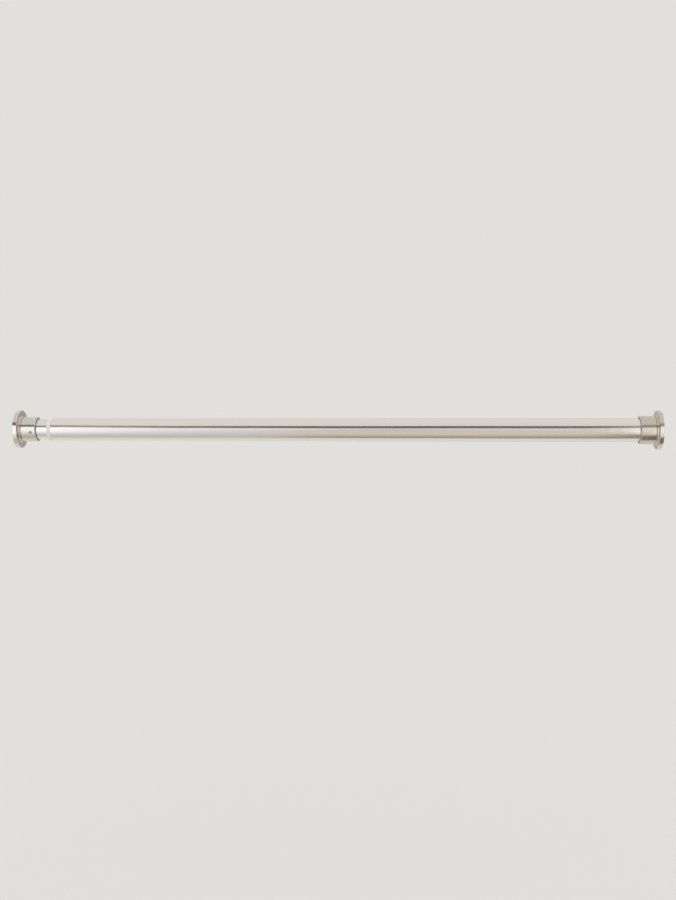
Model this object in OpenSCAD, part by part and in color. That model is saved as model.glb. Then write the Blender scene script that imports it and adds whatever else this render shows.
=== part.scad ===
// Spring-tension curtain rod: two telescoping steel tubes between round wall flanges.
// Twisting the tubes against each other wedges a nylon cam in the outer tube, and a
// compression spring in the inner tube then presses the rubber pads against the walls.
// The rod lies along X: the outer tube's wall face is at x = 0 and the rod runs to -X.

/* [Rod] */
// Length between the two wall faces, with the tubes pushed fully together
rod_len = 711.2; // [600:0.1:900]

/* [Tubes] */
// Outside diameter of the outer tube
outer_od = 25.4; // [21:0.1:32]
// Wall of the outer tube
outer_wall = 0.8; // [0.6:0.05:1.2]
// Wall of the inner tube
inner_wall = 0.8; // [0.6:0.05:1.2]
// Depth of the rolled beads that grip the plug and the spring seat
bead_depth = 0.6; // [0.3:0.05:0.8]
// Width of a rolled bead
bead_w = 2.8; // [2:0.1:4]

/* [End caps] */
// Diameter of the round wall flange
flange_d = 42; // [35:0.5:60]
// Thickness of the flange at its rim
flange_t = 4.9; // [4:0.1:8]
// Length of the raised ring between the flange and the collar
step_len = 1.5; // [1:0.1:3]
// How far that ring stands above the collar
step_rise = 0.9; // [0.3:0.1:1.5]
// Wall of the collar around its tube
collar_wall = 2.6; // [2:0.1:4]
// Length of the whole cap, from the flange's outer face to the collar's mouth
cap_len = 23.2; // [18:0.1:40]
// Thickness of the web between the pad and the tube's end
web_t = 2.6; // [2:0.1:4]
// Width of the shadow gap between the collar's mouth and its tube
mouth_gap = 0.7; // [0.2:0.1:1.2]
// Depth of that gap
mouth_gap_depth = 1; // [0.5:0.1:2]

/* [Wall pads] */
// How far the rubber pad stands proud of the flange
pad_proud = 0.8; // [0.5:0.1:2]
// Depth of the recess that holds the pad
pad_recess = 1.6; // [1.2:0.1:2]
// Wall of the flange around the pad
rim_wall = 2.6; // [2:0.1:5]
// Number of raised rings around the pad's middle land
pad_rings = 4; // [2:1:6]

/* [Set screws] */
// Thread diameter of the headless screw
screw_d = 3; // [2:0.5:4]
// Distance of the screw from the collar's mouth
screw_inset = 5.3; // [4:0.1:8]
// Hexagon key across flats
screw_key = 1.5; // [1.3:0.1:2]
// Angle of the outer cap's screw below the front
outer_screw_angle = 32.5; // [0:0.5:90]
// Angle of the inner cap's screw below the front
inner_screw_angle = 15.5; // [0:0.5:90]

/* [Glide bushing] */
// Width of the plastic ring that shows at the outer tube's mouth
glide_ring = 4.4; // [3:0.1:8]
// Wall of the sleeve between the two tubes
sleeve_wall = 0.65; // [0.5:0.05:1.2]
// Length of the sleeve inside the outer tube
sleeve_len = 16; // [12:0.5:30]

/* [Twist lock] */
// Travel of the spring, from relaxed against its stop to fully pressed in
stroke = 11; // [6:0.5:25]
// Diameter of the lock shaft
shaft_d = 7; // [6:0.1:8]
// Depth of each of the two flats on the shaft's neck
flat_depth = 0.7; // [0.4:0.05:1]
// Distance of the eccentric journal's centre from the rod's axis
throw = 1; // [0.8:0.05:1.2]
// Twist of the shaft, from free to wedged
lock_angle = 30; // [20:1:45]
// Length of the cam
cam_len = 14; // [10:0.5:20]
// Number of grip grooves around the cam
cam_grooves = 23; // [11:1:31]
// Length of the drag shoe
shoe_len = 17; // [14:0.5:26]
// Number of spring fingers on the drag shoe
shoe_fingers = 6; // [4:1:8]
// Length of the plug inside the inner tube
plug_len = 21; // [16:0.5:30]

/* [Spring] */
// Diameter of the spring wire
wire_d = 2; // [1.4:0.1:2.2]
// Length of the spring as fitted, pressed against its stop
spring_len = 76; // [60:1:120]
// Number of turns, with the closed turn at each end
spring_turns = 17; // [12:1:22]

/* [Hidden] */
$fn = 96;

// Radial gaps: pieces seated in each other, a shaft in its bearing, sliding pieces,
// flats in their keyed bore, and pieces that only have to go in
seat_fit = 0.05;
run_fit = 0.05;
glide_fit = 0.1;
key_fit = 0.1;
free_fit = 0.15;
// Axial gaps: pieces that lie against each other, and pieces that run past each other
lay_gap = 0.1;
run_gap = 0.3;
// How far a cutting shape reaches past the faces it cuts
cut = 1;
// What is left of the travel when the spring is fully pressed in
stroke_reserve = 1.2;
plug_reserve = 0.6;

// Radii of the tubes, worked inwards from the outer one
outer_r = outer_od / 2;
outer_bore = outer_r - outer_wall;
sleeve_r = outer_bore - seat_fit;
inner_r = sleeve_r - sleeve_wall - glide_fit;
inner_bore = inner_r - inner_wall;

// Stations along the cap, measured from the wall face
recess_at = pad_proud + pad_recess;
floor_at = recess_at + web_t;
flange_at = pad_proud + flange_t;
step_at = flange_at + step_len;
mouth_at = pad_proud + cap_len;
screw_at = mouth_at - screw_inset;

// Flange recess, wider at its floor so that the pad's lip snaps in
recess_r = flange_d / 2 - rim_wall;
recess_undercut = 0.4;
pad_gap = 0.2;

// Set screw: how far it lies below the collar's surface, and its hole
screw_sunk = 0.4;
screw_hole = screw_d / 2 + glide_fit;

// The outer tube's mouth leaves the spring's travel free in front of the inner cap
inner_mouth_at = rod_len - mouth_at;
tube_mouth_at = inner_mouth_at - stroke - stroke_reserve - glide_ring;

// Retaining clips on the shaft
clip_t = 0.8;
clip_bite = 0.7;
clip_rim = 1.5;
tip_land = 2;

// Thrust washer
washer_t = 1;
washer_w = 3.4;

// Lock pieces in a row, from the outer cap's web inwards
tip_at = floor_at + run_gap;
tip_clip_at = tip_at + tip_land;
washer_at = tip_clip_at + clip_t + lay_gap;
shoe_at = washer_at + washer_t + lay_gap;
cam_at = shoe_at + shoe_len + run_gap;
shoulder_at = cam_at + cam_len + run_gap;
shoulder_t = 3;
plug_at = shoulder_at + shoulder_t + stroke + plug_reserve;
plug_rim_t = 3;
inner_end_at = plug_at + plug_rim_t;
plug_end_at = inner_end_at + plug_len;
plunger_at = plug_end_at + run_gap;

// Plunger, spring and seat behind the plug
disc_t = 3;
disc_edge = 0.6;
boss_len = 6;
boss_edge = 0.6;
boss_lead = 0.8;
stub_d = shaft_d - 2;
stub_past_clip = 1.5;
coil_gap = 1.3;
boss_gap = 0.4;
coil_r = inner_bore - coil_gap - wire_d / 2;
boss_r = coil_r - wire_d / 2 - boss_gap;
spring_at = plunger_at + disc_t;
plunger_clip_at = spring_at + boss_len + lay_gap;
stub_end_at = plunger_clip_at + clip_t + stub_past_clip;
seat_at = spring_at + spring_len;

// Beads: one grips the plug's groove, one stops the spring seat
bead_play = 0.2;
plug_bead_at = inner_end_at + plug_len / 2;
seat_bead_at = seat_at + disc_t + bead_w / 2 + bead_play;

// Neck and journal: the journal just clears the shaft, so that the cam slides over it
neck_flats = shaft_d - 2 * flat_depth;
journal_r = shaft_d / 2 + throw + glide_fit;

// Cam: a twist of lock_angle carries it this far, and it then all but touches the bore
wedge_gap = 0.08;
cam_shift = 2 * throw * sin(lock_angle / 2);
cam_r = outer_bore - cam_shift - wedge_gap;
cam_side_gap = cam_shift + glide_fit;

// Shoulder behind the cam, which stays inside the cam's outline
shoulder_step = 1.8;
shoulder_r = cam_r - shoulder_step;

// Tongue of the drag shoe, which clears the journal, and the hub that its root runs into
tongue_w = 3;
tongue_t = 2.6;
tongue_gap = 0.4;
tongue_root = 1.2;
tongue_in = throw + journal_r + tongue_gap;
tongue_out = tongue_in + tongue_t;
hub_r = tongue_in + tongue_root;

// Points of an arc about c, from angle a0 to a1
function arc(c, r, a0, a1, n = 5) =
    [for (i = [0 : n]) let (a = a0 + (a1 - a0) * i / n) c + r * [cos(a), sin(a)]];

// A rolled bead in a line of radius r about station s: one turn of a raised cosine
function bead(r, s, n = 8) =
    [for (i = [0 : n]) [r - bead_depth * (1 - cos(360 * i / n)) / 2, s + bead_w * (i / n - 0.5)]];

function reversed(p) = [for (i = [len(p) - 1 : -1 : 0]) p[i]];

// Lays a piece on the rod: its z becomes the distance from the outer wall face,
// its x points up, and its y points away from the viewer
module on_rod() {
    rotate([0, -90, 0]) children();
}

// The same, measured from the inner wall face
module on_rod_from_inner_wall() {
    on_rod() translate([0, 0, rod_len]) mirror([0, 0, 1]) children();
}

// A turned piece: points are [radius, distance along the rod]
module turned(points) {
    rotate_extrude() polygon(points);
}

// A plain ring between two radii
module ring(r_in, r_out, s, t) {
    translate([0, 0, s]) difference() {
        cylinder(r = r_out, h = t);
        translate([0, 0, -cut]) cylinder(r = r_in, h = t + 2 * cut);
    }
}

// Places a piece that points along z in a collar's wall, at an angle below the front
module at_screw(angle) {
    rotate([0, 0, 270 - angle]) translate([0, 0, screw_at]) rotate([0, 90, 0]) children();
}

// A shaft or bore with two flats
module two_flats(r, across, s, h) {
    translate([0, 0, s]) intersection() {
        cylinder(r = r, h = h);
        translate([-r, -across / 2, -cut]) cube([2 * r, across, h + 2 * cut]);
    }
}

// Die-cast cap: flange with a pad recess, raised ring, and a collar over the tube's end,
// opened out at its mouth so that a dark line parts it from the tube
module end_cap(tube_r, screw_angle) {
    socket_r = tube_r + seat_fit;
    collar_r = socket_r + collar_wall;
    step_r = collar_r + step_rise;
    flange_r = flange_d / 2;
    round = 0.7;
    edge = 0.4;
    neck = 0.35;
    sink = 0.35;
    difference() {
        turned(concat(
            [[0, recess_at], [recess_r + recess_undercut, recess_at], [recess_r, pad_proud]],
            arc([flange_r - edge, pad_proud + edge], edge, -90, 0),
            arc([flange_r - round, flange_at - round], round, 0, 90),
            [[step_r + edge, flange_at]],
            arc([step_r - edge, step_at - edge], edge, 0, 90),
            [[collar_r - neck, step_at], [collar_r - neck, step_at + neck], [collar_r, step_at + 2 * neck]],
            [[collar_r, mouth_at - edge], [collar_r - edge, mouth_at], [socket_r + mouth_gap, mouth_at]],
            [[socket_r + mouth_gap, mouth_at - mouth_gap_depth], [socket_r, mouth_at - mouth_gap_depth]],
            [[socket_r, floor_at], [0, floor_at]]
        ));
        at_screw(screw_angle) cylinder(r = screw_hole, h = collar_r + cut, $fn = 32);
        at_screw(screw_angle) translate([0, 0, collar_r - sink])
            cylinder(r1 = screw_hole, r2 = screw_hole + 2 * sink, h = 2 * sink, $fn = 32);
    }
}

// Rubber pad: a lip that snaps into the flange, a middle land and concentric rings
module wall_pad() {
    pad_r = recess_r - pad_gap;
    groove = 0.5;
    edge = 0.3;
    draft = 0.2;
    land_r = 4;
    pitch = (pad_r - land_r) / (pad_rings + 0.5);
    groove_w = 0.45 * pitch;
    turned(concat(
        [[0, recess_at], [pad_r + recess_undercut, recess_at], [pad_r, pad_proud], [pad_r - edge, groove]],
        [for (i = [pad_rings : -1 : 1])
            let (ring_out = land_r + pitch * i, ring_in = ring_out - pitch + groove_w)
            each [[ring_out, groove], [ring_out - draft, 0], [ring_in + draft, 0], [ring_in, groove]]],
        [[land_r + draft, groove], [land_r, 0], [0, 0]]
    ));
}

// Headless screw with a hexagon socket and a chamfered point, bearing on the tube
module set_screw(tube_r, screw_angle) {
    foot = tube_r + lay_gap;
    len = tube_r + seat_fit + collar_wall - screw_sunk - foot;
    point = 0.4;
    edge = 0.2;
    socket_depth = 1.2;
    at_screw(screw_angle) translate([0, 0, foot]) difference() {
        rotate_extrude($fn = 32) polygon([
            [0, 0], [screw_d / 2 - point, 0], [screw_d / 2, point],
            [screw_d / 2, len - edge], [screw_d / 2 - edge, len], [0, len]
        ]);
        translate([0, 0, len - socket_depth])
            cylinder(d = screw_key / cos(30), h = socket_depth + cut, $fn = 6);
    }
}

module outer_tube() {
    burr = 0.15;
    color("silver") on_rod() turned([
        [outer_bore + burr, floor_at], [outer_r - burr, floor_at], [outer_r, floor_at + burr],
        [outer_r, tube_mouth_at - burr], [outer_r - burr, tube_mouth_at],
        [outer_bore, tube_mouth_at], [outer_bore, floor_at + burr]
    ]);
}

module outer_end_cap() {
    color("lightgray") on_rod() end_cap(outer_r, outer_screw_angle);
}

module outer_wall_pad() {
    color("dimgray") on_rod() wall_pad();
}

module outer_set_screw() {
    color("gray") on_rod() set_screw(outer_r, outer_screw_angle);
}

// Nylon bushing: a ring flush with the outer tube, and a slotted sleeve in its mouth
module glide_bushing() {
    ring_end = tube_mouth_at + glide_ring;
    sleeve_at = tube_mouth_at - sleeve_len;
    bore = inner_r + glide_fit;
    edge = 0.35;
    lead = 0.2;
    lead_len = 1;
    slots = 4;
    slot_w = 1.6;
    slot_len = 0.65 * sleeve_len;
    color("whitesmoke") on_rod() difference() {
        turned([
            [bore, sleeve_at], [sleeve_r - lead, sleeve_at], [sleeve_r, sleeve_at + lead_len],
            [sleeve_r, tube_mouth_at], [outer_r, tube_mouth_at],
            [outer_r, ring_end - edge], [outer_r - edge, ring_end],
            [bore + edge, ring_end], [bore, ring_end - edge]
        ]);
        for (i = [0 : slots - 1])
            rotate([0, 0, 360 * i / slots]) translate([0, -slot_w / 2, sleeve_at - cut])
                cube([outer_r, slot_w, slot_len + cut]);
    }
}

// Inner tube, with two rolled beads in its inner end
module inner_tube() {
    end_at = rod_len - floor_at;
    color("silver") on_rod() turned(concat(
        [[inner_bore, inner_end_at], [inner_r, inner_end_at]],
        bead(inner_r, plug_bead_at), bead(inner_r, seat_bead_at),
        [[inner_r, end_at], [inner_bore, end_at]],
        reversed(bead(inner_bore, seat_bead_at)), reversed(bead(inner_bore, plug_bead_at))
    ));
}

module inner_end_cap() {
    color("lightgray") on_rod_from_inner_wall() end_cap(inner_r, inner_screw_angle);
}

module inner_wall_pad() {
    color("dimgray") on_rod_from_inner_wall() wall_pad();
}

module inner_set_screw() {
    color("gray") on_rod_from_inner_wall() set_screw(inner_r, inner_screw_angle);
}

// Nylon plug in the inner tube's end: a guide rim, a groove for the bead, a bore with
// flats that turns the shaft, and four pockets cored from the back between its ribs
module tube_plug() {
    plug_r = inner_bore - seat_fit;
    rim_r = outer_bore - free_fit;
    rim_edge = 0.6;
    groove_r = inner_bore - bead_depth - free_fit;
    groove_half = bead_w / 2 + bead_play;
    lead = 0.5;
    lead_len = 1;
    bore_r = shaft_d / 2 + key_fit;
    bore_wall = 1.6;
    skin = 1.3;
    pocket_floor = 3;
    rib = 2;
    whole = plug_rim_t + plug_len;
    color("ivory") on_rod() difference() {
        turned([
            [0, plug_at], [rim_r - rim_edge, plug_at], [rim_r, plug_at + rim_edge], [rim_r, inner_end_at],
            [plug_r, inner_end_at], [plug_r, plug_bead_at - groove_half],
            [groove_r, plug_bead_at - groove_half / 2], [groove_r, plug_bead_at + groove_half / 2],
            [plug_r, plug_bead_at + groove_half], [plug_r, plug_end_at - lead_len],
            [plug_r - lead, plug_end_at], [0, plug_end_at]
        ]);
        two_flats(bore_r, neck_flats + 2 * key_fit, plug_at - cut, whole + 2 * cut);
        difference() {
            ring(bore_r + bore_wall, groove_r - skin, plug_at + pocket_floor, whole);
            for (a = [0, 90]) rotate([0, 0, a])
                translate([-inner_bore, -rib / 2, plug_at]) cube([2 * inner_bore, rib, whole + cut]);
        }
    }
}

// Nylon seat that the bead holds: a disc and a boss inside the spring's last turns
module spring_seat() {
    seat_r = inner_bore - free_fit;
    boss_at = seat_at - boss_len;
    boss_wall = 2;
    slots = 3;
    slot_w = 2;
    color("ivory") on_rod() difference() {
        turned([
            [boss_r - boss_wall, boss_at], [boss_r - boss_edge, boss_at], [boss_r, boss_at + boss_lead],
            [boss_r, seat_at], [seat_r, seat_at], [seat_r, seat_at + disc_t - disc_edge],
            [seat_r - disc_edge, seat_at + disc_t], [boss_r - boss_wall, seat_at + disc_t]
        ]);
        for (i = [0 : slots - 1]) rotate([0, 0, 360 * i / slots])
            translate([boss_r - boss_wall - cut, -slot_w / 2, boss_at - cut])
                cube([boss_wall + 2 * cut, slot_w, boss_len + cut]);
    }
}

// Compression spring with closed end turns: a round wire swept along a helix
module tension_spring() {
    steps = 16;
    sides = 8;
    wire_r = wire_d / 2;
    closed_pitch = wire_d + lay_gap;
    first = spring_at + lay_gap + wire_r;
    open_turns = spring_turns - 2;
    pitch = (spring_len - 2 * lay_gap - wire_d - 2 * closed_pitch) / open_turns;
    lean = atan(pitch / (2 * PI * coil_r));
    count = spring_turns * steps;
    // Height of the wire's centre after u turns
    function height(u) = first + closed_pitch * (min(u, 1) + max(0, u - 1 - open_turns))
        + pitch * max(0, min(u - 1, open_turns));
    // One ring of the wire: radial and axial directions, leant over with the helix
    function wire_ring(u) = let (t = 360 * u) [for (k = [0 : sides - 1]) let (
            a = 360 * k / sides,
            out = coil_r + wire_r * cos(a),
            back = wire_r * sin(a) * sin(lean),
            along = height(u) + wire_r * sin(a) * cos(lean)
        ) [out * cos(t) + back * sin(t), out * sin(t) - back * cos(t), along]];
    color("darkgray") on_rod() polyhedron(
        points = [for (i = [0 : count]) each wire_ring(i / steps)],
        faces = concat(
            [[for (k = [0 : sides - 1]) k]],
            [for (i = [0 : count - 1]) for (k = [0 : sides - 1]) let (m = (k + 1) % sides)
                each [[i * sides + k, (i + 1) * sides + k, (i + 1) * sides + m],
                      [i * sides + k, (i + 1) * sides + m, i * sides + m]]],
            [[for (k = [sides - 1 : -1 : 0]) count * sides + k]]
        )
    );
}

// A groove for a retaining clip
module clip_groove(r, s) {
    ring(r - clip_bite, r + cut, s - lay_gap / 2, clip_t + lay_gap);
}

// Steel shaft: clip groove, bearing, eccentric journal, shoulder, neck with flats, stub
module lock_shaft() {
    r = shaft_d / 2;
    chamfer = 0.6;
    shoulder_end = shoulder_at + shoulder_t;
    color("gray") on_rod() difference() {
        union() {
            turned([
                [0, tip_at], [r - chamfer, tip_at], [r, tip_at + chamfer], [r, cam_at - run_gap],
                [0, cam_at - run_gap]
            ]);
            translate([throw, 0, cam_at - run_gap]) cylinder(r = journal_r, h = cam_len + 2 * run_gap);
            turned([
                [0, shoulder_at], [shoulder_r - chamfer, shoulder_at], [shoulder_r, shoulder_at + chamfer],
                [shoulder_r, shoulder_end - chamfer], [shoulder_r - chamfer, shoulder_end],
                [0, shoulder_end]
            ]);
            two_flats(r, neck_flats, shoulder_end, plunger_at - shoulder_end);
            turned([
                [0, plunger_at], [stub_d / 2, plunger_at], [stub_d / 2, stub_end_at - chamfer],
                [stub_d / 2 - chamfer, stub_end_at], [0, stub_end_at]
            ]);
        }
        clip_groove(r, tip_clip_at);
        clip_groove(stub_d / 2, plunger_clip_at);
    }
}

// Split nylon cam: its bore runs on the journal, its outside wedges in the outer tube,
// and the drag shoe's tongue lies in its split so that it can't turn with the shaft
module cam_ring() {
    split = tongue_w + 2 * cam_side_gap;
    groove_r = 0.6;
    groove_out = 0.2;
    edge = 0.8;
    color("white") on_rod() difference() {
        turned([
            [0, cam_at], [cam_r - edge, cam_at], [cam_r, cam_at + edge], [cam_r, cam_at + cam_len - edge],
            [cam_r - edge, cam_at + cam_len], [0, cam_at + cam_len]
        ]);
        translate([throw, 0, cam_at - cut]) cylinder(r = journal_r + run_fit, h = cam_len + 2 * cut);
        translate([throw, -split / 2, cam_at - cut]) cube([cam_r, split, cam_len + 2 * cut]);
        for (i = [1 : cam_grooves]) rotate([0, 0, 360 * i / (cam_grooves + 1)])
            translate([cam_r + groove_out, 0, cam_at - cut])
                cylinder(r = groove_r, h = cam_len + 2 * cut, $fn = 16);
    }
}

// Nylon drag shoe: a hub on the shaft, spring fingers that rub in the outer tube, and
// the tongue that holds the cam
module drag_shoe() {
    front_t = 2.2;
    front_r = outer_bore - 0.5;
    front_edge = 0.5;
    front_at = shoe_at + front_t;
    finger_out = outer_bore - 0.6;
    finger_in = finger_out - 1.2;
    finger_neck = 0.6;
    finger_end = shoe_at + shoe_len - 1.5;
    rub_r = outer_bore - glide_fit;
    rub_len = 4.4;
    rub_steps = 8;
    slot_w = tongue_w + 0.8;
    bore = shaft_d / 2 + run_fit;
    tongue_len = cam_at + 0.6 * cam_len - front_at;
    color("white") on_rod() {
        difference() {
            turned(concat(
                [[bore, shoe_at], [front_r - front_edge, shoe_at], [front_r, shoe_at + front_edge]],
                [[front_r, front_at], [finger_out, front_at + finger_neck]],
                [for (i = [0 : rub_steps]) [
                    finger_out + (rub_r - finger_out) * (1 - cos(360 * i / rub_steps)) / 2,
                    finger_end - rub_len * (1 - i / rub_steps)
                ]],
                [[finger_in, finger_end], [finger_in, front_at], [hub_r, front_at]],
                [[hub_r, shoe_at + shoe_len], [bore, shoe_at + shoe_len]]
            ));
            for (i = [0 : shoe_fingers - 1]) rotate([0, 0, 360 * i / shoe_fingers])
                translate([finger_in - cut / 2, -slot_w / 2, front_at])
                    cube([outer_bore, slot_w, shoe_len]);
        }
        translate([tongue_in, -tongue_w / 2, front_at]) cube([tongue_t, tongue_w, tongue_len]);
    }
}

module thrust_washer() {
    bore = shaft_d / 2 + glide_fit;
    color("darkgray") on_rod() ring(bore, bore + washer_w, washer_at, washer_t);
}

// Spring-steel clip: an open ring with three prongs that bite into the shaft's groove
module retaining_clip(r, s) {
    groove = r - clip_bite + run_fit;
    snap = 0.2;
    opening = 2 * (groove - snap);
    ring_in = r + 0.5;
    ring_out = ring_in + clip_rim;
    prong_w = 1.6;
    difference() {
        union() {
            ring(ring_in, ring_out, s, clip_t);
            difference() {
                for (a = [90, 180, 270]) rotate([0, 0, a]) translate([0, -prong_w / 2, s])
                    cube([ring_in + clip_rim / 2, prong_w, clip_t]);
                translate([0, 0, s - cut]) cylinder(r = groove, h = clip_t + 2 * cut);
            }
        }
        translate([0, -opening / 2, s - cut]) cube([ring_out + cut, opening, clip_t + 2 * cut]);
    }
}

module tip_clip() {
    color("darkgray") on_rod() retaining_clip(shaft_d / 2, tip_clip_at);
}

// Plunger on the shaft's end: the spring presses its disc against the plug's back
module spring_plunger() {
    disc_r = inner_bore - 0.5;
    bore = stub_d / 2 + seat_fit;
    boss_end = spring_at + boss_len;
    color("ivory") on_rod() turned([
        [bore, plunger_at], [disc_r - disc_edge, plunger_at], [disc_r, plunger_at + disc_edge],
        [disc_r, spring_at], [boss_r, spring_at], [boss_r, boss_end - boss_lead],
        [boss_r - boss_edge, boss_end], [bore, boss_end]
    ]);
}

module plunger_clip() {
    color("darkgray") on_rod() retaining_clip(stub_d / 2, plunger_clip_at);
}

outer_tube();
outer_end_cap();
outer_wall_pad();
outer_set_screw();
glide_bushing();
inner_tube();
inner_end_cap();
inner_wall_pad();
inner_set_screw();
tube_plug();
spring_seat();
tension_spring();
lock_shaft();
cam_ring();
drag_shoe();
thrust_washer();
tip_clip();
spring_plunger();
plunger_clip();
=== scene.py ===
import math

import bpy
import numpy as np
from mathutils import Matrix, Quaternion, Vector


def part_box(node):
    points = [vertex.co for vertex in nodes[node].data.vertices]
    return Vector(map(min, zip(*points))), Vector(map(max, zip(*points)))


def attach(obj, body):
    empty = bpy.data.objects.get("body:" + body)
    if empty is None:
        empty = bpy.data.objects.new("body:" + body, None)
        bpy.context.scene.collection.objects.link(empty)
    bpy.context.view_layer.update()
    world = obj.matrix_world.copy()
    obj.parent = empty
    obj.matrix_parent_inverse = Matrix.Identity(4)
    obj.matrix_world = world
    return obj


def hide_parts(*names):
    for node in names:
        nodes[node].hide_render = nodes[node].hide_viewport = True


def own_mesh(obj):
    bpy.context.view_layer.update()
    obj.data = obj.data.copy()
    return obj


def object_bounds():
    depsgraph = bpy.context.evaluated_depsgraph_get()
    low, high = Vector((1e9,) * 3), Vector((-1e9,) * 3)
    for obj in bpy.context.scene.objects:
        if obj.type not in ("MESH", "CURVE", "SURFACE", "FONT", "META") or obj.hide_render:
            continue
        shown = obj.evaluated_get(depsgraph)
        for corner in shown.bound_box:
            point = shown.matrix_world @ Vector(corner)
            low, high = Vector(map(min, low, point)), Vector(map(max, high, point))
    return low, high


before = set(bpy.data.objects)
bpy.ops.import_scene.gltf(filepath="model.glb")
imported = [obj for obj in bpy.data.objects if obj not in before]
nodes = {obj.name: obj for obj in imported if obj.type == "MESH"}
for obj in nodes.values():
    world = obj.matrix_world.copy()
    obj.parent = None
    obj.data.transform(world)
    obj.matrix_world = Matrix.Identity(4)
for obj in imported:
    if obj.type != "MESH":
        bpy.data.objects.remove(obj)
cad_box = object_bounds()


# Tubes
# Two thin-walled steel tubes, drawn, brushed along their length and plated in satin nickel. The
# inner one slides in the outer one, and the beads rolled into its inner end hold the nylon plug
# and the spring's seat.

def add(tree, kind, inputs=None, **settings):
    """Adds one shader node. The settings are the node's own; each input is named by its
    socket and is either a plain value or another node's output."""
    made = tree.nodes.new("ShaderNode" + kind)
    for name, value in settings.items():
        setattr(made, name, value)
    for socket, value in (inputs or {}).items():
        if isinstance(value, bpy.types.NodeSocket):
            tree.links.new(value, made.inputs[socket])
        else:
            made.inputs[socket].default_value = value
    return made


def maths(tree, operation, *values, **settings):
    """One step of arithmetic on numbers, plain or from other nodes."""
    return add(tree, "Math", dict(enumerate(values)), operation=operation, **settings).outputs[0]


def scaled(tree, vector, factor):
    """A vector times a number."""
    return add(tree, "VectorMath", {0: vector, "Scale": factor}, operation="SCALE").outputs[0]


def spread(tree, value, low=0.3, high=0.7, **settings):
    """A mask that is 0 up to the low value and 1 from the high value on. Without these two it
    opens out a noise texture, nearly all of whose values lie between 0.3 and 0.7."""
    found = add(tree, "MapRange", {"Value": value, "From Min": low, "From Max": high}, **settings)
    return found.outputs["Result"]


def new_group(name, outputs, **inputs):
    """Starts a node group that takes a vector and these numbers, given with their defaults,
    and puts these masks out. Returns its tree and the sockets of its two ends."""
    tree = bpy.data.node_groups.new(name, "ShaderNodeTree")
    tree.interface.new_socket("Vector", in_out="INPUT", socket_type="NodeSocketVector")
    for socket, default in inputs.items():
        made = tree.interface.new_socket(
            socket.replace("_", " "), in_out="INPUT", socket_type="NodeSocketFloat")
        made.default_value = default
    for socket in outputs:
        tree.interface.new_socket(socket, in_out="OUTPUT", socket_type="NodeSocketFloat")
    return tree, tree.nodes.new("NodeGroupInput").outputs, tree.nodes.new("NodeGroupOutput").inputs


def place(tree, group, coords, **inputs):
    """Places a node group in a material's tree, sets its numbers by name and returns what it
    puts out."""
    given = {name.replace("_", " "): value for name, value in inputs.items()}
    return add(tree, "Group", {"Vector": coords, **given}, node_tree=group).outputs


def new_finish(name, metal=0.0, **constants):
    """A material with one Principled shader, whose own sockets take the constants. Returns the
    material, its tree, the shader and the object coordinates."""
    material = bpy.data.materials.new(name)
    material.use_nodes = True
    tree = material.node_tree
    shader = tree.nodes["Principled BSDF"]
    shader.inputs["Metallic"].default_value = metal
    for socket, value in constants.items():
        shader.inputs[socket.replace("_", " ")].default_value = value
    coords = add(tree, "TexCoord").outputs["Object"]
    return material, tree, shader, coords


def tone(tree, shader, mask, dark, light):
    """Base colour from one colour to another, by a mask."""
    ramp = add(tree, "Mix", {"Factor": mask, "A": (*dark, 1), "B": (*light, 1)}, data_type="RGBA")
    tree.links.new(ramp.outputs["Result"], shader.inputs["Base Color"])


def gloss(tree, shader, mask, low, high):
    """Roughness from one value to another, by a mask."""
    found = add(tree, "MapRange", {"Value": mask, "To Min": low, "To Max": high})
    tree.links.new(found.outputs["Result"], shader.inputs["Roughness"])


def relief(tree, shader, height, strength, depth):
    """Bump from a height of 0 to 1, which stands for that depth in metres."""
    bump = add(tree, "Bump", {"Height": height, "Strength": strength, "Distance": depth})
    tree.links.new(bump.outputs["Normal"], shader.inputs["Normal"])


def dress(finish, *names):
    """Gives a finish to CAD nodes."""
    for name in names:
        nodes[name].material_slots[0].material = finish


def brushed_lines():
    """Lines along the rod: noise in cells that are drawn out along x by the stretch. The bands
    are the same noise in broader cells."""
    band_share = 0.12
    tree, given, out = new_group(
        "brushed_lines", ["Lines", "Bands"], Lines_per_metre=4000.0, Stretch=150.0)
    across = given["Lines per metre"]
    along = maths(tree, "DIVIDE", across, given["Stretch"])
    cells = add(tree, "CombineXYZ", {"X": along, "Y": across, "Z": across}).outputs[0]
    for socket, share in (("Lines", 1.0), ("Bands", band_share)):
        laid = add(tree, "VectorMath", {0: given["Vector"], 1: scaled(tree, cells, share)},
                   operation="MULTIPLY")
        noise = add(tree, "TexNoise", {"Vector": laid.outputs[0], "Scale": 1.0, "Detail": 3.0})
        tree.links.new(spread(tree, noise.outputs[0]), out[socket])
    return tree


def handling():
    """Soft patches that hands leave: broad noise times a finer one."""
    finer = 9.0
    tree, given, out = new_group("handling", ["Smudge"], Patch_size=0.04)
    patches = maths(tree, "DIVIDE", 1.0, given["Patch size"])
    broad = add(tree, "TexNoise", {
        "Vector": given["Vector"], "Scale": patches, "Detail": 2.0, "Distortion": 0.6})
    small = add(tree, "TexNoise", {
        "Vector": given["Vector"], "Scale": maths(tree, "MULTIPLY", patches, finer), "Detail": 4.0})
    both = maths(tree, "MULTIPLY", broad.outputs[0], small.outputs[0])
    tree.links.new(spread(tree, both, low=0.18, high=0.36), out["Smudge"])
    return tree


BRUSHED, HANDLED = brushed_lines(), handling()

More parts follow.
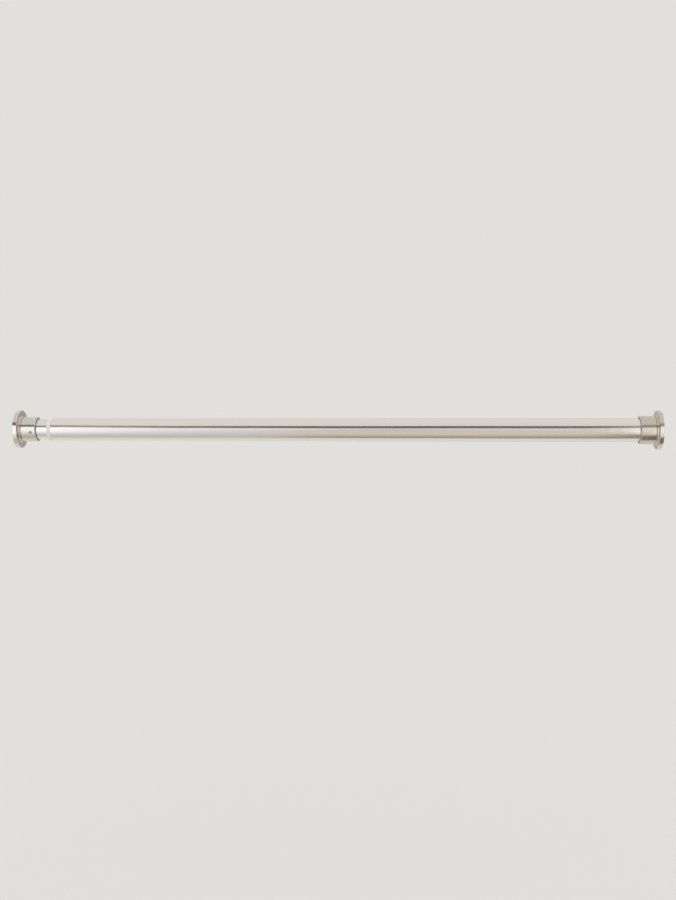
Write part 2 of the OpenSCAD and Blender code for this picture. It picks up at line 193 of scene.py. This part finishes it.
satin_tube, tree, shader, coords = new_finish("satin_tube", metal=1.0)
lines = place(tree, BRUSHED, coords, Lines_per_metre=3500.0, Stretch=180.0)
touched = place(tree, HANDLED, coords, Patch_size=0.05)
tone(tree, shader, lines["Bands"], dark=(0.69, 0.655, 0.595), light=(0.73, 0.695, 0.635))
mixed = add(tree, "Mix", {"Factor": 0.45, "A": lines["Lines"], "B": touched["Smudge"]})
gloss(tree, shader, mixed.outputs["Result"], low=0.11, high=0.19)
relief(tree, shader, lines["Lines"], strength=0.25, depth=0.000004)
dress(satin_tube, "outer_tube", "inner_tube")


# End caps
# Zinc castings, turned on the collar and the flange and plated in the same satin nickel, a shade
# darker than the tubes; the outer cap is painted shade, a darker and warmer copy of the inner one.
# Each is pushed over its tube's end, and a painted highlight lightens the flange's edge in patches.

def turned_rings():
    """Rings round the rod's axis: noise at x and the distance from the axis, each times the
    rings per metre. The way round moves that place a little, so that no ring is quite even."""
    way_round = 40.0
    tree, given, out = new_group("turned_rings", ["Rings", "Radius"], Rings_per_metre=3000.0)
    parts = add(tree, "SeparateXYZ", {0: given["Vector"]}).outputs
    off_axis = add(tree, "CombineXYZ", {"Y": parts["Y"], "Z": parts["Z"]}).outputs[0]
    radius = add(tree, "VectorMath", {0: off_axis}, operation="LENGTH").outputs["Value"]
    profile = add(tree, "CombineXYZ", {"X": parts["X"], "Y": radius}).outputs[0]
    where = add(tree, "VectorMath", {
        0: scaled(tree, profile, given["Rings per metre"]), 1: scaled(tree, off_axis, way_round)},
        operation="ADD")
    noise = add(tree, "TexNoise", {"Vector": where.outputs[0], "Scale": 1.0, "Detail": 2.0})
    tree.links.new(spread(tree, noise.outputs[0]), out["Rings"])
    tree.links.new(radius, out["Radius"])
    return tree


TURNED = turned_rings()
flange_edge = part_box("outer_end_cap")[1].z - 0.0001
# Width of the painted highlight along the flange's edge.
edge_highlight_width = 0.0006


def plated_casting(name, dark, light):
    """The castings' finish: dark, with the light colour at the flange's edge as a painted highlight.
    """
    finish, tree, shader, coords = new_finish(name, metal=1.0)
    rings = place(tree, TURNED, coords, Rings_per_metre=2600.0)
    touched = place(tree, HANDLED, coords, Patch_size=0.02)
    # The flange's edge takes the light colour where handled patches reach it: a painted highlight.
    edge_highlight = spread(tree, rings["Radius"], flange_edge - edge_highlight_width, flange_edge,
                    interpolation_type="SMOOTHSTEP")
    tone(tree, shader, maths(tree, "MULTIPLY", edge_highlight, touched["Smudge"]), dark, light)
    mixed = add(tree, "Mix", {"Factor": 0.5, "A": rings["Rings"], "B": touched["Smudge"]})
    gloss(tree, shader, mixed.outputs["Result"], low=0.11, high=0.19)
    relief(tree, shader, rings["Rings"], strength=0.2, depth=0.000005)
    return finish


# The outer cap's darker, warmer colour is painted shade: a shaded copy of the inner cap's finish.
shaded_outer_cast = plated_casting("shaded_outer_cast", dark=(0.54, 0.485, 0.405), light=(0.64, 0.60, 0.53))
inner_cast = plated_casting("inner_cast", dark=(0.60, 0.56, 0.495), light=(0.70, 0.67, 0.61))
dress(shaded_outer_cast, "outer_end_cap")
dress(inner_cast, "inner_end_cap")


# Wall pads
# Discs of soft, pale rubber, moulded with raised rings and snapped into the flanges' recesses.
# The grooves between the rings, which press on the wall, are coloured darker than the rings.

def moulded():
    """The skin of a moulded piece: fine pits from the mould and broad, faint flow marks."""
    flow_share = 0.03
    tree, given, out = new_group("moulded", ["Pits", "Flow"], Pits_per_metre=3000.0)
    pits = add(tree, "TexNoise", {
        "Vector": given["Vector"], "Scale": given["Pits per metre"], "Detail": 3.0, "Roughness": 0.6})
    broad = maths(tree, "MULTIPLY", given["Pits per metre"], flow_share)
    flow = add(tree, "TexNoise", {
        "Vector": given["Vector"], "Scale": broad, "Detail": 2.0, "Distortion": 1.2})
    tree.links.new(pits.outputs[0], out["Pits"])
    tree.links.new(spread(tree, flow.outputs[0]), out["Flow"])
    return tree


MOULDED = moulded()

pad_rubber, tree, shader, coords = new_finish("pad_rubber", Specular_IOR_Level=0.35)
skin = place(tree, MOULDED, coords, Pits_per_metre=2500.0)
outer_face, inner_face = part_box("outer_wall_pad")[1].x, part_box("inner_wall_pad")[0].x
middle, half = (outer_face + inner_face) / 2, (outer_face - inner_face) / 2
groove_below, ring_top_above = half - 0.0006, half - 0.0001
along_rod = add(tree, "SeparateXYZ", {0: coords}).outputs["X"]
outwards = maths(tree, "ABSOLUTE", maths(tree, "SUBTRACT", along_rod, middle))
# Darker in the grooves below the rings' tops; the flow marks lighten it in places.
raised = spread(tree, outwards, groove_below, ring_top_above)
ring_tops_and_flow = maths(tree, "ADD", raised, skin["Flow"], use_clamp=True)
tone(tree, shader, ring_tops_and_flow, dark=(0.50, 0.48, 0.45), light=(0.70, 0.69, 0.66))
gloss(tree, shader, skin["Flow"], low=0.62, high=0.8)
relief(tree, shader, skin["Pits"], strength=0.35, depth=0.00005)
dress(pad_rubber, "outer_wall_pad", "inner_wall_pad")


# Set screws
# Headless hexagon-socket screws of stainless steel, sunk just below the collars' surface, which
# hold the caps on the tubes. They are a little darker than the plating.

def handled_steel(name, patch_size, dark, light, roughness, depth, **constants):
    """Steel whose colour, gloss and relief all follow the patches where it has been handled."""
    finish, tree, shader, coords = new_finish(name, metal=1.0, **constants)
    touched = place(tree, HANDLED, coords, Patch_size=patch_size)
    tone(tree, shader, touched["Smudge"], dark, light)
    gloss(tree, shader, touched["Smudge"], *roughness)
    relief(tree, shader, touched["Smudge"], strength=0.3, depth=depth)
    return finish


screw_steel = handled_steel("screw_steel", patch_size=0.0015, dark=(0.42, 0.41, 0.39),
                            light=(0.60, 0.59, 0.56), roughness=(0.28, 0.42), depth=0.00003)
dress(screw_steel, "outer_set_screw", "inner_set_screw")


# Glide bushing
# A ring and a slotted sleeve in one, moulded of translucent white nylon and pressed into the
# outer tube's mouth, where the inner tube slides through it. Its skin is matt.

def nylon(name, pits_per_metre, dark, light, roughness, depth, **constants):
    """Moulded nylon: colour and gloss follow the flow marks, and the relief is the pits."""
    finish, tree, shader, coords = new_finish(name, Subsurface_Scale=0.001, **constants)
    skin = place(tree, MOULDED, coords, Pits_per_metre=pits_per_metre)
    tone(tree, shader, skin["Flow"], dark, light)
    gloss(tree, shader, skin["Flow"], *roughness)
    relief(tree, shader, skin["Pits"], strength=0.3, depth=depth)
    return finish


glide_nylon = nylon("glide_nylon", pits_per_metre=4000.0, dark=(0.77, 0.76, 0.735),
                    light=(0.84, 0.83, 0.805), roughness=(0.42, 0.55), depth=0.00003,
                    Specular_IOR_Level=0.4, Subsurface_Weight=0.15)
dress(glide_nylon, "glide_bushing")


# Plug, seat, plunger and drag shoe
# Moulded of natural nylon, slightly yellow and with more sheen than the bushing. The plug and
# the seat are held by the inner tube's beads; the plunger and the shoe sit on the lock shaft.

natural_nylon = nylon("natural_nylon", pits_per_metre=3000.0, dark=(0.76, 0.73, 0.64),
                      light=(0.84, 0.82, 0.74), roughness=(0.35, 0.5), depth=0.00004,
                      Specular_IOR_Level=0.45, Subsurface_Weight=0.2)
dress(natural_nylon, "tube_plug", "spring_seat", "spring_plunger", "drag_shoe")


# Cam ring
# Moulded of white nylon, split along one side and slipped over the lock shaft's eccentric
# journal. The ribs between its grip grooves are greyed by the steel that they wedge against.

cam_nylon, tree, shader, coords = new_finish("cam_nylon", Specular_IOR_Level=0.45)
skin = place(tree, MOULDED, coords, Pits_per_metre=3500.0)
rings = place(tree, TURNED, coords, Rings_per_metre=1500.0)
low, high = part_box("cam_ring")
rib_top = (high.z - low.z) / 2
greyed = spread(tree, rings["Radius"], rib_top - 0.0002, rib_top)
white, grey = (0.82, 0.82, 0.81), (0.55, 0.55, 0.54)
tone(tree, shader, greyed, white, grey)
gloss(tree, shader, skin["Flow"], low=0.3, high=0.5)
relief(tree, shader, skin["Pits"], strength=0.3, depth=0.00003)
dress(cam_nylon, "cam_ring")


# Lock shaft and thrust washer
# Turned from steel bar and zinc-plated, with the tool's fine rings still in the surface. The
# shaft carries the whole lock, and the washer lies between the drag shoe and its clip.

turned_steel, tree, shader, coords = new_finish("turned_steel", metal=1.0)
rings = place(tree, TURNED, coords, Rings_per_metre=2200.0)
touched = place(tree, HANDLED, coords, Patch_size=0.006)
tone(tree, shader, touched["Smudge"], dark=(0.52, 0.52, 0.53), light=(0.64, 0.64, 0.64))
gloss(tree, shader, rings["Rings"], low=0.2, high=0.36)
relief(tree, shader, rings["Rings"], strength=0.4, depth=0.00001)
dress(turned_steel, "lock_shaft", "thrust_washer")


# Tension spring
# Oiled spring wire, coiled with one closed turn at each end and ground flat where it bears on
# the plunger and on the seat.

def coil_spring(start, end, radius, wire_r, turns, closed_pitch, ground=0.8, steps=72, sides=20):
    """A round wire carried along a helix about the x axis. The centre line's angle is 2 pi u;
    its distance from the start grows by the closed pitch over the first and last turn and
    evenly between them. A point of the wire lies at angle v round the centre line, leant over
    with the helix. At both ends the wire sinks past the end plane by the ground share of its
    radius, and what would pass the plane is cut back to it, as grinding does."""
    length = abs(end - start)
    way = math.copysign(1.0, end - start)
    open_pitch = (length - 2 * wire_r - 2 * closed_pitch) / (turns - 2)
    lean = math.atan(open_pitch / (2 * math.pi * radius))
    u = np.linspace(0.0, turns, turns * steps + 1)[:, None]
    v = np.linspace(0.0, 2 * math.pi, sides, endpoint=False)[None, :]
    first, last = np.clip(u, 0, 1), np.clip(u - turns + 1, 0, 1)
    between_them = np.clip(u - 1, 0, turns - 2)
    height = wire_r + closed_pitch * (first + last) + open_pitch * between_them
    height = height + ground * wire_r * (last + first - 1)
    turn = 2 * math.pi * u
    out = radius + wire_r * np.cos(v)
    back = wire_r * np.sin(v) * math.sin(lean)
    z = out * np.cos(turn) + back * np.sin(turn)
    y = out * np.sin(turn) - back * np.cos(turn)
    x = np.clip(height + wire_r * np.sin(v) * math.cos(lean), 0.0, length)
    return np.stack([start + way * x, y, z], axis=-1), turn * radius, v * wire_r


def tube_mesh(name, points, along, around):
    """A mesh from a grid of points, closed round its second direction and capped at both ends.
    The UV map holds the distances along and around the surface, in metres."""
    rows, sides = points.shape[:2]
    number = np.arange(rows * sides).reshape(rows, sides)
    beside = np.roll(number, -1, axis=1)
    quads = np.stack([number[:-1], number[1:], beside[1:], beside[:-1]], axis=-1).reshape(-1, 4)
    caps = [number[0][::-1].tolist(), number[-1].tolist()]
    mesh = bpy.data.meshes.new(name)
    mesh.from_pydata(points.reshape(-1, 3), [], quads.tolist() + caps)
    mesh.update()
    corner = np.zeros(len(mesh.loops), np.int32)
    mesh.loops.foreach_get("vertex_index", corner)
    uv = np.stack(np.broadcast_arrays(along, around), axis=-1).reshape(-1, 2)
    layer = mesh.uv_layers.new(name="wire")
    layer.uv.foreach_set("vector", uv[corner].ravel())
    mesh.shade_smooth()
    return mesh


low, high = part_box("tension_spring")
wire_r = 0.001
points, along, around = coil_spring(high.x, low.x, radius=high.z - wire_r, wire_r=wire_r, turns=17,
                                    closed_pitch=0.0021)
spring = bpy.data.objects.new("coil", tube_mesh("coil", points, along, around))
bpy.context.scene.collection.objects.link(spring)
spring_wire = handled_steel("spring_wire", patch_size=0.008, dark=(0.36, 0.36, 0.37),
                            light=(0.5, 0.5, 0.5), roughness=(0.25, 0.4), depth=0.00002,
                            Coat_Weight=0.3, Coat_Roughness=0.15)
spring.data.materials.append(spring_wire)
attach(spring, "lock_shaft")
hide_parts("tension_spring")
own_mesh(spring)


# Retaining clips
# Open rings stamped from spring-steel strip and blued by the heat treatment. Three prongs bite
# into a groove of the shaft: one clip keeps the drag shoe on it, the other the plunger.

clip_steel = handled_steel("clip_steel", patch_size=0.004, dark=(0.3, 0.31, 0.34),
                           light=(0.46, 0.46, 0.47), roughness=(0.25, 0.4), depth=0.00002)
dress(clip_steel, "tip_clip", "plunger_clip")


# Camera
# Square to the rod's axis a little right of its middle, as the photograph shows by the two
# flanges' faces. The foot's column and row say where, in the photograph's pixels, the point of
# the axis straight before the camera lies.

picture_width, picture_height = 676, 900
foot_column, foot_row = 401.9, 429.6
pixels_per_metre = 907.7
distance = 1.25
focal = pixels_per_metre * distance
foot = Vector((-0.281, -distance, 0.0))
right, up = foot_column - picture_width / 2, picture_height / 2 - foot_row
ahead = Vector((-right / focal, 1.0, -up / focal))
roll = math.radians(0.085)

camera = bpy.data.objects.new("camera", bpy.data.cameras.new("camera"))
bpy.context.scene.collection.objects.link(camera)
camera.location = foot
camera.rotation_mode = "QUATERNION"
camera.rotation_quaternion = ahead.to_track_quat("-Z", "Y") @ Quaternion((0, 0, 1), roll)
camera.data.sensor_width = 36.0
camera.data.lens = focal / picture_height * camera.data.sensor_width
camera.data.clip_start = 0.01
bpy.context.scene.camera = camera
bpy.context.scene.view_settings.view_transform = "Standard"


# Floor and room
# A pale floor well below the rod, in an even, pale room that lights the rod from all round.
# Away from the rod the camera sees the floor fade into the room, so that no horizon shows.

FLOOR_Z = -0.5
PALE = (0.80, 0.785, 0.755)
DAYLIGHT = 0.95
reach, corners = 30.0, 96
fade_start, fade_end = 0.7, 2.0

turn = np.linspace(0, 2 * math.pi, corners, endpoint=False)
rim = np.stack([reach * np.cos(turn), reach * np.sin(turn), np.full(corners, FLOOR_Z)], axis=-1)
floor_mesh = bpy.data.meshes.new("floor")
floor_mesh.from_pydata(rim, [], [list(range(corners))])
floor = bpy.data.objects.new("floor", floor_mesh)
bpy.context.scene.collection.objects.link(floor)
floor.visible_glossy = False

floor_finish, tree, shader, coords = new_finish("floor", Specular_IOR_Level=0.0, Roughness=1.0)
shader.inputs["Base Color"].default_value = (*PALE, 1)
below_rod = ((cad_box[0].x + cad_box[1].x) / 2, 0, FLOOR_Z)
from_there = add(tree, "VectorMath", {0: coords, 1: below_rod}, operation="DISTANCE")
far = spread(tree, from_there.outputs["Value"], fade_start, fade_end, interpolation_type="SMOOTHSTEP")
plain = add(tree, "Emission", {"Color": (*PALE, 1), "Strength": DAYLIGHT})
seen = add(tree, "LightPath").outputs["Is Camera Ray"]
both = add(tree, "MixShader", {
    0: maths(tree, "MULTIPLY", far, seen), 1: shader.outputs[0], 2: plain.outputs[0]})
tree.links.new(both.outputs[0], tree.nodes["Material Output"].inputs["Surface"])
floor_mesh.materials.append(floor_finish)

world = bpy.data.worlds.new("room")
bpy.context.scene.world = world
world.use_nodes = True
tree = world.node_tree
tree.nodes.clear()
light = add(tree, "Background", {"Color": (1, 1, 1, 1), "Strength": DAYLIGHT})
backdrop = add(tree, "Background", {"Color": (*PALE, 1), "Strength": DAYLIGHT})
seen = add(tree, "LightPath").outputs["Is Camera Ray"]
both = add(tree, "MixShader", {0: seen, 1: light.outputs[0], 2: backdrop.outputs[0]})
add(tree, "OutputWorld", {"Surface": both.outputs[0]})


# Cards
# What the metal mirrors: cards of even or fading brightness, bent round the rod like the sides
# of a light tent. Only mirror rays see them, so they neither light nor shade anything.

def glow_card(name, points, levels, tint=(1, 1, 1)):
    """A card from a grid of points, each with its own brightness."""
    rows, columns = np.shape(levels)
    number = np.arange(rows * columns).reshape(rows, columns)
    quads = np.stack([number[:-1, :-1], number[1:, :-1], number[1:, 1:], number[:-1, 1:]], axis=-1)
    mesh = bpy.data.meshes.new(name)
    mesh.from_pydata(np.reshape(points, (-1, 3)), [], quads.reshape(-1, 4).tolist())
    mesh.attributes.new("level", "FLOAT", "POINT").data.foreach_set("value", np.ravel(levels))
    made = bpy.data.objects.new(name, mesh)
    bpy.context.scene.collection.objects.link(made)
    made.visible_camera = made.visible_diffuse = made.visible_shadow = False
    glow = bpy.data.materials.new(name)
    glow.use_nodes = True
    tree = glow.node_tree
    tree.nodes.clear()
    level = add(tree, "Attribute", attribute_name="level")
    shine = add(tree, "Emission", {"Color": (*tint, 1), "Strength": level.outputs["Fac"]})
    add(tree, "OutputMaterial", {"Surface": shine.outputs[0]})
    mesh.materials.append(glow)


def bent_card(name, away, angles, stations, tint):
    """A card bent about the rod's axis: at angle a above the level of the axis it lies at
    y = -away cos a and z = away sin a. A station is a line of the card: the place on the rod,
    in metres, that mirrors it to the camera, its brightness, one for all angles or one for
    each, and if it is moved up, by how many degrees."""
    points, levels = [], []
    for on_rod, level, *lift in stations:
        x = on_rod + (on_rod - foot.x) * away / distance
        turn = np.radians(np.array(angles) + sum(lift))
        points.append([(x, -away * math.cos(a), away * math.sin(a)) for a in turn])
        levels.append(np.broadcast_to(level, len(angles)))
    glow_card(name, points, levels, tint)


def between(low, high, share):
    """Brightnesses part of the way from one profile to another."""
    return np.array(low) + (np.array(high) - np.array(low)) * share


WARM, COOL = (1.0, 0.93, 0.82), (0.97, 0.995, 1.07)
far_left, ring, collar, far_right = -1.715, -0.670, -0.0185, 0.93

bent_card("dark_line", away=3.4, angles=(15.5, 20, 25, 31, 36.3), tint=WARM, stations=[
    (far_left, 0.2, 6), (-0.6874, 0.2, 6), (-0.6686, 0.52, 6), (-0.614, 0.54, 2.5), (-0.57, 0.32, -1),
    (-0.526, 0.25, -2), (-0.448, 0.2, -0.8), (-0.338, 0.15, -0.8), (-0.228, 0.14, 1.2),
    (-0.118, 0.14, 1.8), (-0.052, 0.2, 3.5), (-0.0198, 0.34, 8.5), (collar, 1.0, 12),
    (-0.002, 0.7, 9), (0.0035, 0.6, 8), (far_right, 0.6, 8)])

dim, bright = (0.78,) * 7, (0.78, 1.0, 1.25, 1.5, 1.7, 1.7, 1.7)
bright_shares = [(-1.187, 0), (-0.922, 1), (-0.691, 1), (ring, 0.66), (-0.63, 0.56), (-0.58, 0.42),
                 (-0.503, 0.23), (-0.393, 0.06)]
bent_card("soft_box", away=3.7, angles=(-62, -48, -36, -24, -10, 6, 24), tint=COOL, stations=[
    (x, between(dim, bright, share)) for x, share in bright_shares])

bent_card("light_line", away=3.6, angles=(-6, 2, 9), tint=COOL, stations=[
    (-0.592, 1.15), (-0.503, 1.1), (-0.393, 0.98), (-0.338, 0.78), (-0.283, 0.66), (-0.228, 0.84),
    (-0.118, 0.87), (-0.068, 0.74), (collar, 0.5)])

bent_card("right_box", away=3.6, angles=(-28, -10, 8, 16), tint=COOL, stations=[
    (collar, 2.3), (-0.001, 2.1), (0.0035, 1.7, 5), (far_right, 1.6, 5)])

under = (0.32, 0.2, 0.21, 0.3, 1.05, 2.1)
bent_card("dark_right", away=3.5, angles=(-88, -75, -60, -50, -40, -28), tint=(1.0, 0.96, 0.92),
          stations=[(collar, under), (far_right, under)])

pale = (0.75, 0.79, 0.82, 0.85, 0.86, 0.82, 0.8)
shaded = (0.42, 0.47, 0.66, 0.82, 0.86, 0.84, 0.8)
darkest = (0.38, 0.36, 0.36, 0.36, 0.36, 0.38, 0.42)
bent_card("dark_below", away=4.0, angles=(-92, -78, -64, -50, -34, -20, -12), tint=WARM,
          stations=[(-0.426, pale), (-0.375, shaded), (-0.063, shaded), (collar, darkest)])

wall = (0.78, 0.76, 0.75, 0.79, 0.8, 0.79, 0.79)
bent_card("front_wall", away=4.3, angles=(-98, -84, -66, -52, -20, 10, 20), tint=(1.0, 0.975, 0.93),
          stations=[(far_left, wall), (far_right, wall)])

behind, half_height = 5.0, 2.2
back_wall = {-9: 0.66, -1.5: 0.66, 0.5: 0.5, 8: 0.5}
glow_card("back_wall", [[(x, behind, z) for z in (-half_height, half_height)] for x in back_wall],
          [(level, level) for level in back_wall.values()])

dark, half_height = 0.12, 1.2
for x in (-7.0, 6.4):
    glow_card("end", [[(x, y, z) for z in (-half_height, half_height)] for y in (-3.2, -0.9)],
              [(dark, dark)] * 2)
